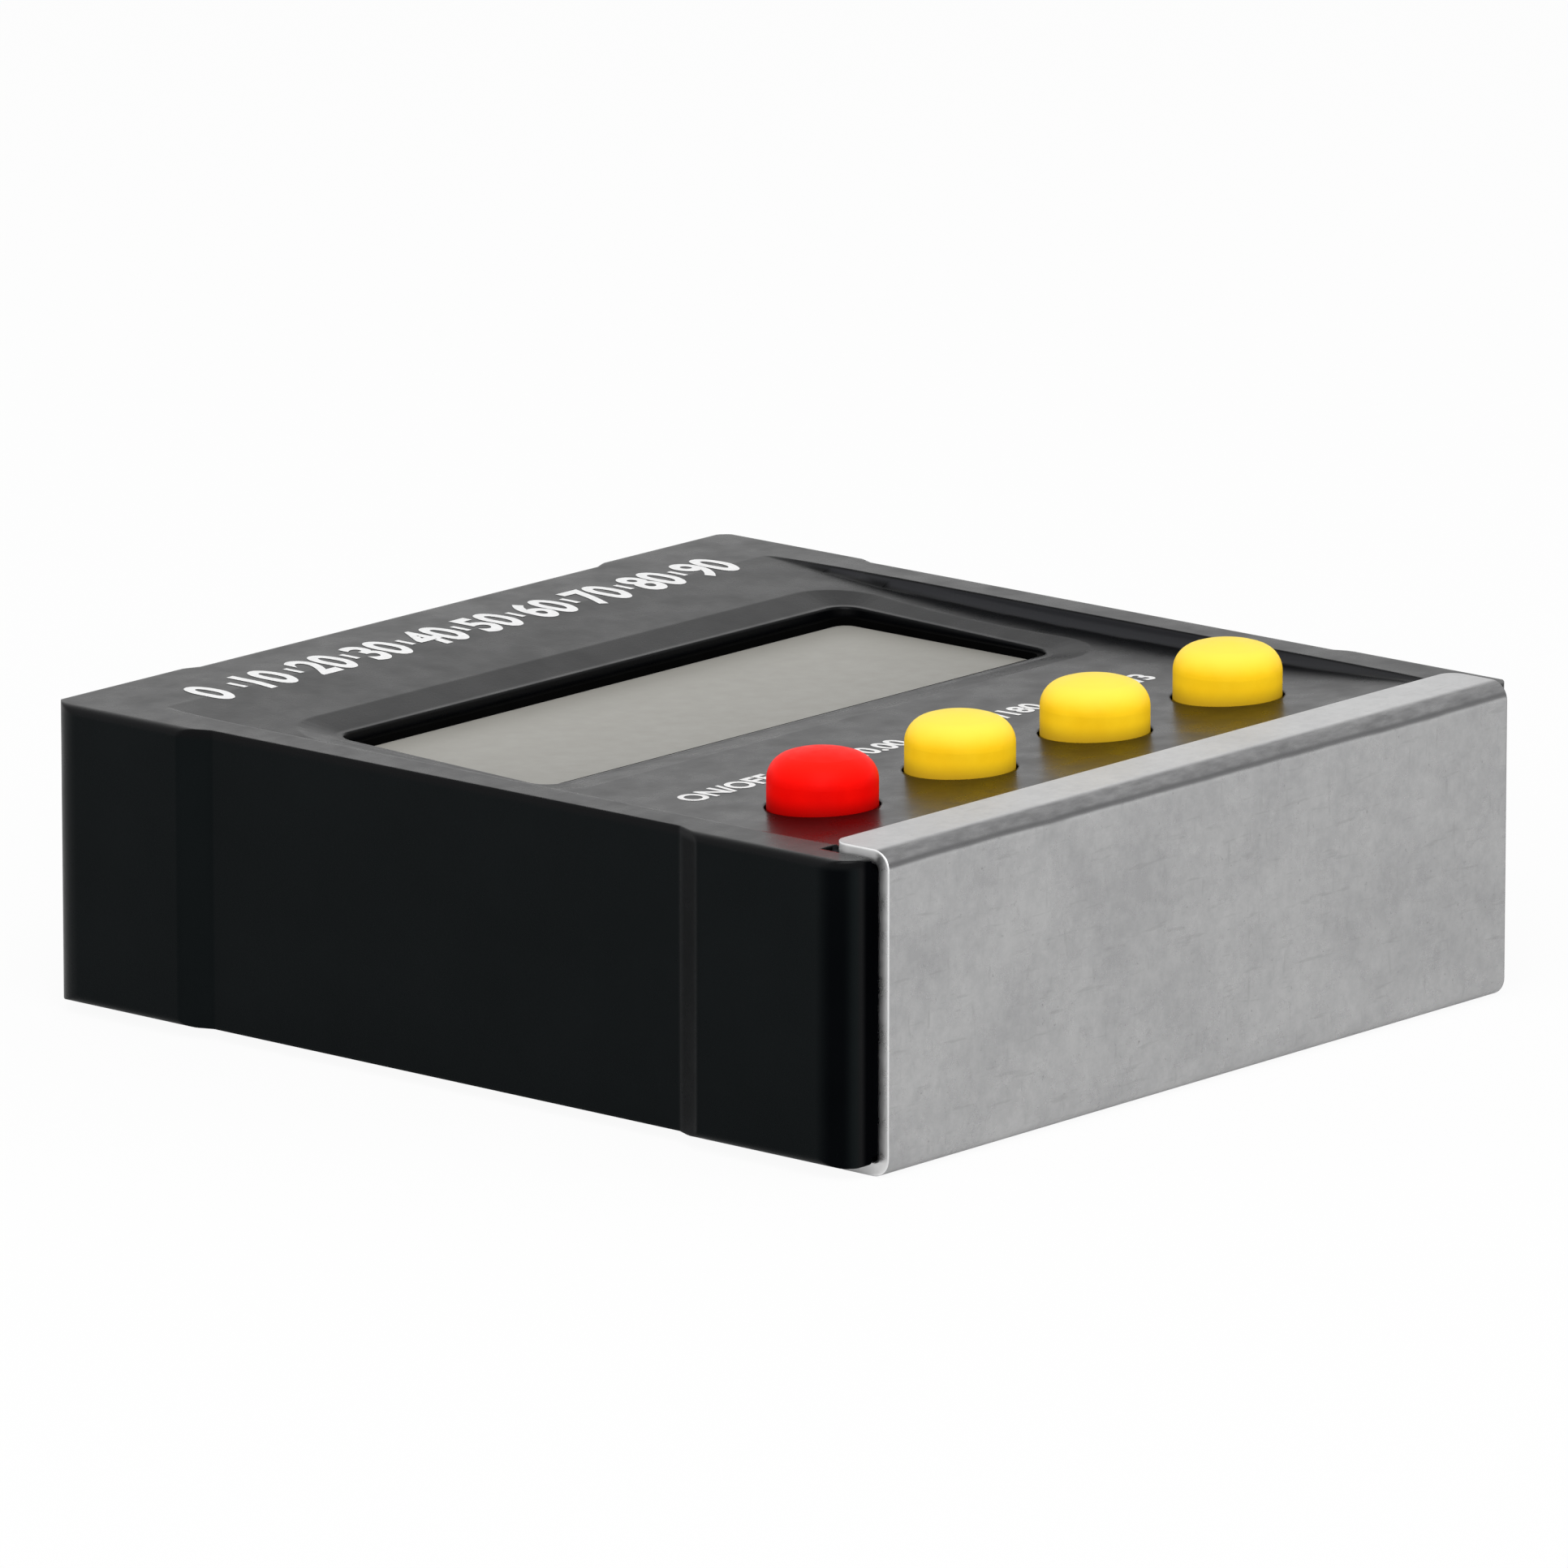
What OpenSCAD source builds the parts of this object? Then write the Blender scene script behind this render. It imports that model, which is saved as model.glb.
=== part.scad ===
// Digital angle gauge lying on its back
// +X reading direction, +Y title edge, -Y magnetic base, +Z out of the face

/* [Case] */
// overall width across the face
body_w = 58.7; // [50:0.1:80]
// length from the steel base to the title edge
body_len = 61; // [54:0.5:90]
// height of the back of the case over the ground
back_z = 0.65; // [0.2:0.05:1]
// height of the face at its rims
face_z = 17.95; // [16.5:0.05:24]
// radius of the four upright corners
corner_r = 2.4; // [1:0.1:5]
// radius of the long outer edges
edge_r = 0.5; // [0.2:0.05:1]
// wall at the sides
side_wall = 2.05; // [1.4:0.05:3]
// wall at the title edge
title_wall = 1.95; // [1.2:0.1:3]
// wall behind the steel base, deep enough for the magnets
base_wall = 5.5; // [4.4:0.1:8]
// height of the inside of the face
roof_z = 16; // [15:0.05:16.2]
// depth of the shallow panels in the sides
panel_depth = 0.85; // [0.2:0.05:1.2]
// distance of the shallow panels from the title corners
panel_in = 12.2; // [6:0.1:16]
// distance of the side panels from the steel base
panel_base_in = 13.9; // [6:0.1:16]
// length of the slope at each panel end
panel_ramp = 2; // [0.6:0.1:4]

/* [Face] */
// width of the raised rims beside the scoop
rim_w = 3; // [1.5:0.1:4]
// depth of the scoop at its middle
scoop_depth = 1; // [0.5:0.05:1.4]
// radius of the fillet between the scoop and the rims
scoop_fillet = 0.6; // [0.2:0.05:1]
// distance of the scoop's end from the steel base
scoop_base_in = 2.75; // [1:0.1:6]
// distance of the scoop's end from the title edge
scoop_title_in = 6.25; // [3:0.05:9]
// distance of the window from the sides
window_side_in = 7.25; // [6:0.05:12]
// distance of the window from the title edge
window_title_in = 15.55; // [14:0.05:18]
// distance of the window from the steel base
window_base_in = 29.25; // [27:0.05:34]
// radius of the window corners
window_r = 1.4; // [0.6:0.1:3]
// depth of the pocket under the scoop
pocket_drop = 0.35; // [0.15:0.05:0.45]
// flat margin between the window and the pocket wall
pocket_margin = 0.4; // [0.2:0.05:1]
// how far the leaning pocket wall runs out
pocket_flare = 3; // [1:0.1:3.6]

/* [Steel base] */
// thickness of the folded sheet
plate_t = 0.8; // [0.5:0.05:1.2]
// distance of the plate's ends from the sides
plate_in = 2.3; // [1:0.05:6]
// width of each folded lip
lip_w = 4.15; // [3:0.05:6]
// how far the lip stands over the rims of the face
lip_rise = 0.45; // [0.1:0.05:0.7]
// inside radius of the folds
fold_r = 0.3; // [0.2:0.05:0.6]
// radius of the free corners of the lips
lip_corner_r = 1.0; // [0.2:0.1:2]
// play between the lips and their rebates
lip_gap = 0.4; // [0.1:0.05:0.5]

/* [Magnets] */
// length of a magnet along the base
magnet_len = 12; // [6:0.5:15]
// height of a magnet
magnet_h = 11; // [6:0.5:12]
// thickness of a magnet
magnet_t = 3; // [2:0.1:3.8]
// distance of the outer magnets' middles from the sides
magnet_in = 12.5; // [9:0.5:13]
// play around a magnet in its pocket
magnet_gap = 0.1; // [0.05:0.05:0.3]

/* [Buttons] */
// radius of a button cap
cap_r = 3.13; // [2.4:0.01:4]
// height of the top of a button cap
cap_top_z = 20.6; // [19.8:0.05:21.6]
// radius of the rounded shoulder of a cap
cap_shoulder = 1.5; // [0.4:0.1:1.5]
// radius of the domed top of a cap
cap_dome_r = 6.5; // [5:0.1:14]
// play around a cap in the face
cap_gap = 0.15; // [0.08:0.01:0.3]
// how far the hidden flange stands out of a cap
flange_out = 0.8; // [0.4:0.1:1.2]
// thickness of the hidden flange
flange_t = 1.1; // [0.6:0.1:1.4]
// play between the flange and the inside of the face
flange_gap = 0.1; // [0.05:0.01:0.2]
// distance of the outer buttons' middles from the sides
button_side_in = 11.68; // [9:0.01:14]
// distance of the row of buttons from the steel base
button_base_in = 12.85; // [11:0.05:14]

/* [Switches] */
// side of the square switch housing
switch_side = 6; // [4.5:0.1:6.2]
// height of the switch housing
switch_h = 1.9; // [1.2:0.1:2.1]
// radius of the plunger
plunger_r = 1.6; // [1:0.1:2]
// play around the plunger
plunger_gap = 0.08; // [0.05:0.01:0.15]
// depth of the plunger well
well_depth = 1.3; // [0.8:0.05:1.5]
// height of the plunger over the bottom of its well
plunger_rise = 0.4; // [0.35:0.05:0.6]

/* [Display] */
// margin of glass hidden behind the face along the window
glass_margin = 1.4; // [0.8:0.05:1.6]
// thickness of one sheet of glass
glass_sheet = 0.9; // [0.7:0.05:1.1]
// width of the contact ledge of the lower sheet
ledge_w = 2.2; // [1.6:0.1:2.6]
// width of the gasket bead round the window
gasket_w = 0.5; // [0.4:0.05:1]
// how far the gasket stays under the pocket floor
gasket_drop = 0.15; // [0.05:0.05:0.4]
// play between the gasket and the window
gasket_gap = 0.05; // [0.02:0.01:0.15]
// width of the display holder's rails
holder_rail = 1.8; // [1.2:0.1:2.4]
// width of the conductive strip
zebra_w = 1.4; // [1:0.1:1.6]
// distance of the conductive strip's ends from the ends of the glass
zebra_in = 3.2; // [2:0.1:8]
// distance of the conductive strip from the edge of the glass
zebra_edge = 0.5; // [0.3:0.05:0.6]
// play of the conductive strip in its slot
zebra_gap = 0.05; // [0.02:0.01:0.15]

/* [Board] */
// thickness of the circuit board
board_t = 1.6; // [1:0.1:1.6]
// height of the upper side of the board
board_z = 12.4; // [11.8:0.05:12.8]
// play between the board and the bosses at its sides
board_gap = 0.3; // [0.2:0.05:0.6]
// radius of the round bosses
boss_r = 1.6; // [1.4:0.05:1.8]
// radius of the holes in the bosses
pilot_r = 0.85; // [0.6:0.05:0.95]
// play of screws in their holes
screw_gap = 0.05; // [0.02:0.01:0.1]
// distance of the board screws from the board's long edges
board_screw_in = 1.9; // [1.8:0.1:3]
// distance of the upper board screws from the display holder
board_screw_off = 4.1; // [3:0.1:5]
// reach of the board screws past the board
board_screw_reach = 2.4; // [1.6:0.1:3]
// distance of the board's end from the end of the glass
board_end_in = 1.6; // [1.2:0.1:2.4]
// distance of the board from the base wall
board_base_gap = 0.3; // [0.2:0.05:0.8]
// distance of the lower board screws from the board's base edge
board_screw_up = 1.7; // [1.7:0.1:2.2]
// radius of a board screw's head
pan_r = 1.55; // [1.2:0.05:1.7]
// height of a board screw's head
pan_h = 1.1; // [0.8:0.1:1.4]
// side of the tilt sensor
sensor_side = 5; // [3:0.1:7]
// height of the tilt sensor
sensor_h = 1.4; // [0.8:0.1:2]
// radius of the potted controller chip
chip_r = 5; // [3:0.1:6]
// height of the potted controller chip
chip_h = 1.5; // [1:0.1:2]
// radius of the crystal can
can_r = 1; // [0.8:0.1:1.5]
// length of the crystal can
can_len = 6; // [4:0.5:8]

/* [Back] */
// thickness of the rear cover
cover_t = 1.6; // [1.4:0.05:2]
// width of the ledge that the cover rests on
cover_ledge = 0.6; // [0.4:0.05:0.9]
// play round the rear cover
cover_gap = 0.1; // [0.05:0.01:0.2]
// distance of the cover screws from the cavity walls
cover_screw_in = 1.35; // [1.3:0.05:1.5]
// distance of the cover screws near the display from the door
cover_screw_off = 2.6; // [1.2:0.1:4]
// distance of the other cover screws from the base wall
cover_screw_up = 2.4; // [2.3:0.1:3]
// radius of a countersunk head
sink_r = 1.7; // [1.5:0.05:1.9]
// height of a countersunk head
sink_h = 0.85; // [0.6:0.05:0.9]
// reach of the cover screws past the cover
cover_screw_reach = 6; // [4:0.2:7]

/* [Battery] */
// radius of the cell
cell_r = 5.25; // [4.5:0.05:5.3]
// length of the cell without its nub
cell_len = 43.7; // [36:0.1:44]
// radius of the cell's nub
nub_r = 1.9; // [1.4:0.1:2.2]
// length of the cell's nub
nub_len = 0.8; // [0.6:0.1:1.2]
// play between the cell and the ribs that hold it
cell_gap = 0.15; // [0.05:0.01:0.3]
// height of the cell over the door
cell_lift = 0.35; // [0.2:0.05:0.5]
// distance of the ribs from the middle
cradle_x = 12; // [6:0.5:16]
// thickness of the ribs
cradle_t = 1.6; // [1:0.1:2.4]
// thickness of the contact plates
contact_t = 0.45; // [0.3:0.05:0.6]
// width of the contact plates
contact_w = 8; // [6:0.1:9]
// thickness of the spring wire
wire_t = 0.5; // [0.4:0.05:0.7]
// radius of the spring
spring_r = 2.8; // [2:0.1:3.6]
// turns of the spring
spring_turns = 2.5; // [2:0.5:3]
// distance of the door's edges from the inner walls
door_side_in = 4.95; // [4:0.05:9]
// how far the door's runners stand out
runner_out = 1.1; // [0.8:0.1:1.4]
// thickness of the door's runners
runner_t = 0.8; // [0.6:0.05:0.9]
// play of the door in its slot
door_gap = 0.1; // [0.06:0.01:0.2]
// length of the door
door_len = 15.1; // [13:0.05:15.2]
// margin round the hollow inside the door
door_margin = 3; // [2:0.1:4]
// depth of the hollow inside the door
door_hollow = 0.5; // [0.2:0.05:0.6]
// distance of the first finger rib from the door's outer end
rib_in = 2.4; // [1.6:0.1:4]
// thickness of a finger rib
rib_t = 0.7; // [0.4:0.05:1]
// thickness of the post behind the nub contact
post_t = 1.5; // [1:0.1:2]
// play between the cell and the title wall
cell_wall_gap = 0.5; // [0.3:0.05:1]
// height of the contact feet
foot_h = 1; // [0.6:0.05:1.2]
// reach of the contact feet under the board
foot_reach = 1.2; // [0.8:0.1:2]
// distance of the contact feet from the board's end
foot_in = 0.9; // [0.6:0.05:1.4]
// number of finger ribs on the door
rib_count = 5; // [3:1:7]
// spacing of the finger ribs
rib_pitch = 1.6; // [1.2:0.1:2]
// how far the finger ribs stand out
rib_h = 0.25; // [0.1:0.05:0.35]

/* [Hidden] */
$fn = 64;
eps = 0.01;
base_y = -body_len / 2;
title_y = body_len / 2;
wall_y = base_y + plate_t;
over = body_w / 12;
panel_side_len = body_len - panel_in - panel_base_in;
panel_side_y = (panel_base_in - panel_in) / 2;
panel_title_len = body_w - 2 * panel_in;
plate_len = body_w - 2 * plate_in;
magnet_pitch = body_w / 2 - magnet_in;
button_pitch = (body_w - 2 * button_side_in) / 3;
button_y = base_y + button_base_in;
scoop_len = body_len - scoop_base_in - scoop_title_in;
scoop_y = (scoop_base_in - scoop_title_in) / 2;
window_w = body_w - 2 * window_side_in;
plate_h = face_z + lip_rise;
half_w = body_w / 2;
cav_x = half_w - panel_depth - side_wall;
cav_y0 = wall_y + base_wall;
cav_y1 = title_y - panel_depth - title_wall;
cover_z = back_z + cover_t;
open_x = cav_x + cover_ledge + 0.35;
open_y0 = cav_y0 - cover_ledge;
open_y1 = cav_y1 + cover_ledge;
scoop_r = (pow(scoop_len / 2, 2) + pow(scoop_depth, 2)) / (2 * scoop_depth);
win_y0 = base_y + window_base_in;
win_y1 = title_y - window_title_in;
face_low = face_z - scoop_depth + scoop_r;
face_near = face_low - sqrt(pow(scoop_r, 2) - pow(win_y0 - scoop_y, 2));
face_far = face_low - sqrt(pow(scoop_r, 2) - pow(win_y1 - scoop_y, 2));
pocket_z = min(face_near, face_far) - pocket_drop;
pocket_lean = atan((face_far - face_near) / (win_y1 - win_y0));
pocket_reach = pocket_margin + pocket_flare;
glass_x = cav_x - cover_screw_in - boss_r - board_gap;
glass_y0 = win_y0 - glass_margin / 2;
glass_y1 = win_y1 + glass_margin;
glass_z = roof_z - 2 * glass_sheet;
board_x = glass_x;
board_y0 = cav_y0 + board_base_gap;
board_y1 = glass_y1 - board_end_in;
board_low = board_z - board_t;
boss_x = cav_x - cover_screw_in;
cover_boss_y0 = cav_y0 + cover_screw_up;
board_boss_x = board_x - board_screw_in;
board_screw_y = glass_y0 - ledge_w - board_screw_off;
door_half = cav_x - door_side_in;
door_outer = title_y - panel_depth;
door_y = door_outer - door_len;
cover_screw_y = door_y - cover_screw_off;
zebra_len = 2 * (glass_x - zebra_in);
zebra_y = glass_y0 - ledge_w + zebra_edge;
board_boss_y0 = board_y0 + board_screw_up;
flange_top = roof_z - flange_gap;
flange_low = flange_top - flange_t;
well_z = board_z + switch_h - well_depth;
cell_y = cav_y1 - cell_wall_gap - cell_r;
cell_z = cover_z + cell_lift + cell_r;
nub_x = (cell_len + nub_len) / 2;
spring_len = cav_x - contact_t - nub_x;
post_x = nub_x + contact_t;
rail_z = cover_z - runner_t;
button_x = [-1.5 * button_pitch, -0.5 * button_pitch, 0.5 * button_pitch, 1.5 * button_pitch];
cover_spots = [[-boss_x, cover_boss_y0], [boss_x, cover_boss_y0],
               [-boss_x, cover_screw_y], [boss_x, cover_screw_y]];
board_spots = [[-board_boss_x, board_boss_y0], [board_boss_x, board_boss_y0],
               [-board_boss_x, board_screw_y], [board_boss_x, board_screw_y]];

// rectangle with round corners, from one corner to the other
module round_rect(x0, y0, x1, y1, r) {
    difference() {
        translate([x0, y0]) square([x1 - x0, y1 - y0]);
        for (sx = [0, 1], sy = [0, 1])
            translate([sx ? x1 - r : x0 + r, sy ? y1 - r : y0 + r])
                difference() {
                    translate([sx ? 0 : -r - 1, sy ? 0 : -r - 1]) square(r + 1);
                    circle(r);
                }
    }
}

// shallow tray cut into one side of the plan, its mouth on the line y = 0
module panel_cut(len) {
    polygon([[-len / 2 - panel_ramp, eps], [-len / 2, -panel_depth],
             [len / 2, -panel_depth], [len / 2 + panel_ramp, eps]]);
}

// outline of the case seen from above
module case_plan() {
    difference() {
        round_rect(-half_w, wall_y, half_w, title_y, corner_r);
        translate([0, title_y]) panel_cut(panel_title_len);
        translate([half_w, panel_side_y]) rotate(-90) panel_cut(panel_side_len);
        translate([-half_w, panel_side_y]) rotate(90) panel_cut(panel_side_len);
    }
}

// solid outer form with softened long edges
module case_block() {
    intersection() {
        translate([0, 0, back_z]) linear_extrude(face_z - back_z) case_plan();
        rotate([90, 0, 90]) linear_extrude(body_w + 2, center = true)
            round_rect(wall_y, back_z, title_y, face_z, edge_r);
        rotate([90, 0, 0]) linear_extrude(2 * body_len, center = true)
            round_rect(-half_w, back_z, half_w, face_z, edge_r);
    }
}

// scoop along the face and the leaning pocket round the window
module face_cuts() {
    translate([0, scoop_y, face_z - scoop_depth + scoop_r]) rotate([0, 90, 0])
        rotate_extrude($fn = 180)
            intersection() {
                round_rect(-scoop_r, rim_w - half_w, scoop_r, half_w - rim_w, scoop_fillet);
                translate([0, -half_w]) square([scoop_r, body_w]);
            }
    translate([0, win_y0, pocket_z]) rotate([pocket_lean, 0, 0]) translate([0, -win_y0, 0])
        hull() {
            linear_extrude(eps)
                round_rect(-window_w / 2 - pocket_margin, win_y0 - pocket_margin,
                           window_w / 2 + pocket_margin, win_y1 + pocket_margin,
                           window_r + pocket_margin / 2, $fn = 32);
            translate([0, 0, 1.6 * pocket_drop]) linear_extrude(0.2)
                round_rect(-window_w / 2 - pocket_reach, win_y0 - pocket_reach,
                           window_w / 2 + pocket_reach, win_y1 + pocket_reach,
                           window_r + pocket_margin / 2 + pocket_flare, $fn = 32);
        }
    translate([0, 0, roof_z - 1]) linear_extrude(face_z - roof_z + 2)
        round_rect(-window_w / 2, win_y0, window_w / 2, win_y1, window_r);
    for (x = button_x)
        translate([x, button_y, roof_z - 1]) cylinder(r = cap_r + cap_gap, h = face_z - roof_z + 2);
}

// rebates for the lips and the relief for the folds
module plate_seat() {
    reach = lip_w - plate_t + lip_gap;
    for (z = [plate_t - over, plate_h - plate_t])
        translate([-plate_len / 2 - lip_gap, wall_y - over, z])
            cube([plate_len + 2 * lip_gap, reach + over, over]);
    for (z = [plate_t, plate_h - plate_t])
        translate([-plate_len / 2 - lip_gap, wall_y, z]) rotate([0, 90, 0])
            cylinder(r = fold_r + 0.1, h = plate_len + 2 * lip_gap, $fn = 24);
}

// profile of the battery door across the slide
module door_profile(g) {
    translate([-door_half - g, back_z - over]) square([2 * (door_half + g), cover_t + over + g]);
    translate([-door_half - runner_out - g, rail_z - g])
        square([2 * (door_half + runner_out + g), runner_t + 2 * g]);
}

module door_slot() {
    translate([0, title_y + over, 0]) rotate([90, 0, 0])
        linear_extrude(title_y + over - door_y + door_gap) door_profile(door_gap);
}

module case_shell() {
    color([0.07, 0.07, 0.075])
    difference() {
        union() {
            difference() {
                case_block();
                translate([0, 0, back_z - 1]) linear_extrude(cover_t + 1)
                    round_rect(-open_x, open_y0, open_x, open_y1, 1.2);
                translate([0, 0, cover_z - eps]) linear_extrude(roof_z - cover_z + eps)
                    round_rect(-cav_x, cav_y0, cav_x, cav_y1, 1);
            }
            for (p = cover_spots)
                translate([p[0], p[1], cover_z]) cylinder(r = boss_r, h = roof_z - cover_z + 0.2);
            for (p = board_spots)
                translate([p[0], p[1], board_z]) cylinder(r = boss_r, h = roof_z - board_z + 0.2);
            for (x = [-cradle_x, cradle_x])
                difference() {
                    translate([x - cradle_t / 2, glass_y1 + 0.2, cell_z])
                        cube([cradle_t, cav_y1 - glass_y1, roof_z - cell_z + 0.2]);
                    translate([x, cell_y, cell_z]) rotate([0, 90, 0])
                        cylinder(r = cell_r + cell_gap, h = cradle_t + 1, center = true);
                }
            translate([post_x, cell_y - contact_w / 2, cover_z + 1])
                cube([post_t, cav_y1 + 0.2 - cell_y + contact_w / 2, roof_z - cover_z - 0.8]);
        }
        face_cuts();
        plate_seat();
        door_slot();
        for (p = cover_spots)
            translate([p[0], p[1], cover_z - 1])
                cylinder(r = pilot_r + screw_gap, h = cover_screw_reach + 1.6, $fn = 32);
        for (p = board_spots)
            translate([p[0], p[1], board_z - 1])
                cylinder(r = pilot_r + screw_gap, h = roof_z - board_z + 0.4, $fn = 32);
        for (k = [-1, 0, 1])
            translate([k * magnet_pitch, wall_y, plate_h / 2])
                cube([magnet_len + 2 * magnet_gap, 2 * magnet_t, magnet_h + 2 * magnet_gap], center = true);
    }
}

module rear_cover() {
    color([0.08, 0.08, 0.085])
    difference() {
        translate([0, 0, back_z]) linear_extrude(cover_t)
            round_rect(-open_x + cover_gap, open_y0 + cover_gap,
                       open_x - cover_gap, open_y1 - cover_gap, 1.1);
        door_slot();
        for (p = cover_spots) {
            translate([p[0], p[1], back_z - 1])
                cylinder(r = pilot_r + 2 * screw_gap, h = cover_t + 2, $fn = 32);
            translate([p[0], p[1], back_z - eps])
                cylinder(r1 = sink_r + screw_gap, r2 = pilot_r + screw_gap, h = sink_h + 0.1, $fn = 32);
        }
    }
}

module battery_door() {
    color([0.08, 0.08, 0.085])
    difference() {
        union() {
            translate([0, door_outer, 0]) rotate([90, 0, 0]) linear_extrude(door_len)
                intersection() {
                    door_profile(0);
                    translate([-body_w, back_z]) square([2 * body_w, cover_t]);
                }
            for (k = [0 : rib_count - 1])
                translate([0, door_outer - rib_in - k * rib_pitch, back_z])
                    cube([door_half, rib_t, 2 * rib_h], center = true);
        }
        translate([-door_half + door_margin, door_y + door_margin / 2, cover_z - door_hollow])
            cube([2 * (door_half - door_margin), door_len - title_wall - door_margin, over]);
    }
}

module base_plate() {
    color([0.72, 0.72, 0.73])
    intersection() {
        rotate([90, 0, 90]) linear_extrude(plate_len, center = true)
            intersection() {
                difference() {
                    round_rect(base_y, 0, base_y + 3 * lip_w, plate_h, fold_r + plate_t);
                    round_rect(wall_y, plate_t, wall_y + 3 * lip_w, plate_h - plate_t, fold_r);
                }
                translate([base_y - 1, -1]) square([lip_w + 1, plate_h + 2]);
            }
        translate([0, 0, -1]) linear_extrude(plate_h + 2)
            round_rect(-plate_len / 2, base_y - over, plate_len / 2, base_y + lip_w, lip_corner_r);
    }
}

module magnet(k) {
    color([0.5, 0.5, 0.52])
    translate([k * magnet_pitch - magnet_len / 2, wall_y, plate_h / 2 - magnet_h / 2])
        cube([magnet_len, magnet_t, magnet_h]);
}

module lcd_gasket() {
    color([0.02, 0.02, 0.02])
    translate([0, 0, roof_z]) linear_extrude(pocket_z - gasket_drop - roof_z)
        difference() {
            round_rect(-window_w / 2 + gasket_gap, win_y0 + gasket_gap, window_w / 2 - gasket_gap,
                       win_y1 - gasket_gap, window_r - gasket_gap);
            round_rect(-window_w / 2 + gasket_w, win_y0 + gasket_w, window_w / 2 - gasket_w,
                       win_y1 - gasket_w, window_r - 0.5);
        }
}

module lcd_glass() {
    color([0.62, 0.62, 0.58])
    union() {
        translate([-glass_x, glass_y0, glass_z + glass_sheet])
            cube([2 * glass_x, glass_y1 - glass_y0, glass_sheet]);
        translate([-glass_x, glass_y0 - ledge_w, glass_z])
            cube([2 * glass_x, glass_y1 - glass_y0 + ledge_w, glass_sheet]);
    }
}

module lcd_holder() {
    bay_y = zebra_y + zebra_w + zebra_edge;
    color([0.85, 0.85, 0.83])
    difference() {
        translate([-glass_x, glass_y0 - ledge_w, board_z])
            cube([2 * glass_x, glass_y1 - glass_y0 + ledge_w, glass_z - board_z]);
        translate([-glass_x + holder_rail, bay_y, board_z - 1])
            cube([2 * (glass_x - holder_rail), glass_y1 - holder_rail - bay_y, glass_z]);
        translate([-zebra_len / 2 - zebra_gap, zebra_y - zebra_gap, board_z - 1])
            cube([zebra_len + 2 * zebra_gap, zebra_w + 2 * zebra_gap, glass_z]);
    }
}

module zebra_strip() {
    color([0.75, 0.55, 0.6])
    translate([-zebra_len / 2, zebra_y, board_z])
        cube([zebra_len, zebra_w, glass_z - board_z]);
}

module main_board() {
    color([0.05, 0.25, 0.12])
    difference() {
        translate([0, 0, board_low]) linear_extrude(board_t)
            round_rect(-board_x, board_y0, board_x, board_y1, 1);
        for (p = board_spots)
            translate([p[0], p[1], board_low - 1])
                cylinder(r = pilot_r + 2 * screw_gap, h = board_t + 2, $fn = 32);
    }
}

module controller_chip() {
    dome_r = (pow(chip_r, 2) + pow(chip_h, 2)) / (2 * chip_h);
    color([0.03, 0.03, 0.03])
    translate([0, 4, board_low]) mirror([0, 0, 1])
        rotate_extrude()
            intersection() {
                translate([0, chip_h - dome_r]) circle(dome_r, $fn = 128);
                square([chip_r, chip_h + 1]);
            }
}

module tilt_sensor() {
    color([0.1, 0.1, 0.1])
    translate([-sensor_side / 2, button_y + sensor_side / 2, board_low - sensor_h])
        cube([sensor_side, sensor_side, sensor_h]);
}

module crystal_can() {
    color([0.75, 0.75, 0.76])
    translate([chip_r + 4, 1, board_low - can_r]) rotate([0, 90, 0])
        cylinder(r = can_r, h = can_len, $fn = 32);
}

module switch_body(x) {
    color([0.15, 0.15, 0.16])
    difference() {
        translate([x - switch_side / 2, button_y - switch_side / 2, board_z])
            cube([switch_side, switch_side, switch_h]);
        translate([x, button_y, well_z])
            cylinder(r = plunger_r + plunger_gap, h = well_depth + 1, $fn = 48);
    }
}

module plunger(x) {
    color([0.05, 0.05, 0.05])
    translate([x, button_y, well_z + plunger_rise])
        cylinder(r = plunger_r, h = flange_low - well_z - plunger_rise, $fn = 48);
}

module button_cap(x, tone) {
    bead_x = cap_r - cap_shoulder;
    dome_z = cap_top_z - cap_dome_r;
    bead_z = dome_z + sqrt(pow(cap_dome_r - cap_shoulder, 2) - pow(bead_x, 2));
    color(tone)
    translate([x, button_y, 0]) rotate_extrude($fn = 96)
        union() {
            translate([0, flange_low]) square([cap_r + flange_out, flange_t]);
            translate([0, flange_low]) square([cap_r, bead_z - flange_low]);
            translate([bead_x, bead_z]) circle(cap_shoulder);
            intersection() {
                translate([0, dome_z]) circle(cap_dome_r, $fn = 128);
                polygon([[0, dome_z], [2 * bead_x, 2 * bead_z - dome_z], [0, cap_top_z + cap_dome_r]]);
                translate([0, flange_low]) square([cap_r, cap_top_z]);
            }
        }
}

module battery_cell() {
    color([0.35, 0.36, 0.38])
    translate([-nub_x, cell_y, cell_z]) rotate([0, 90, 0])
        union() {
            cylinder(r = cell_r, h = cell_len);
            cylinder(r = nub_r, h = cell_len + nub_len, $fn = 32);
        }
}

module battery_spring() {
    arc = 360 * wire_t / ((spring_len - wire_t) / spring_turns);
    far = 3 * spring_r;
    color([0.7, 0.7, 0.72])
    translate([-nub_x - spring_len, cell_y, cell_z]) rotate([0, 90, 0])
        linear_extrude(spring_len, twist = -360 * spring_turns, slices = 30)
            intersection() {
                difference() {
                    circle(spring_r, $fn = 20);
                    circle(spring_r - wire_t, $fn = 20);
                }
                polygon([[0, 0], [far, 0], [far * cos(arc / 2), far * sin(arc / 2)],
                         [far * cos(arc), far * sin(arc)]]);
            }
}

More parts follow.
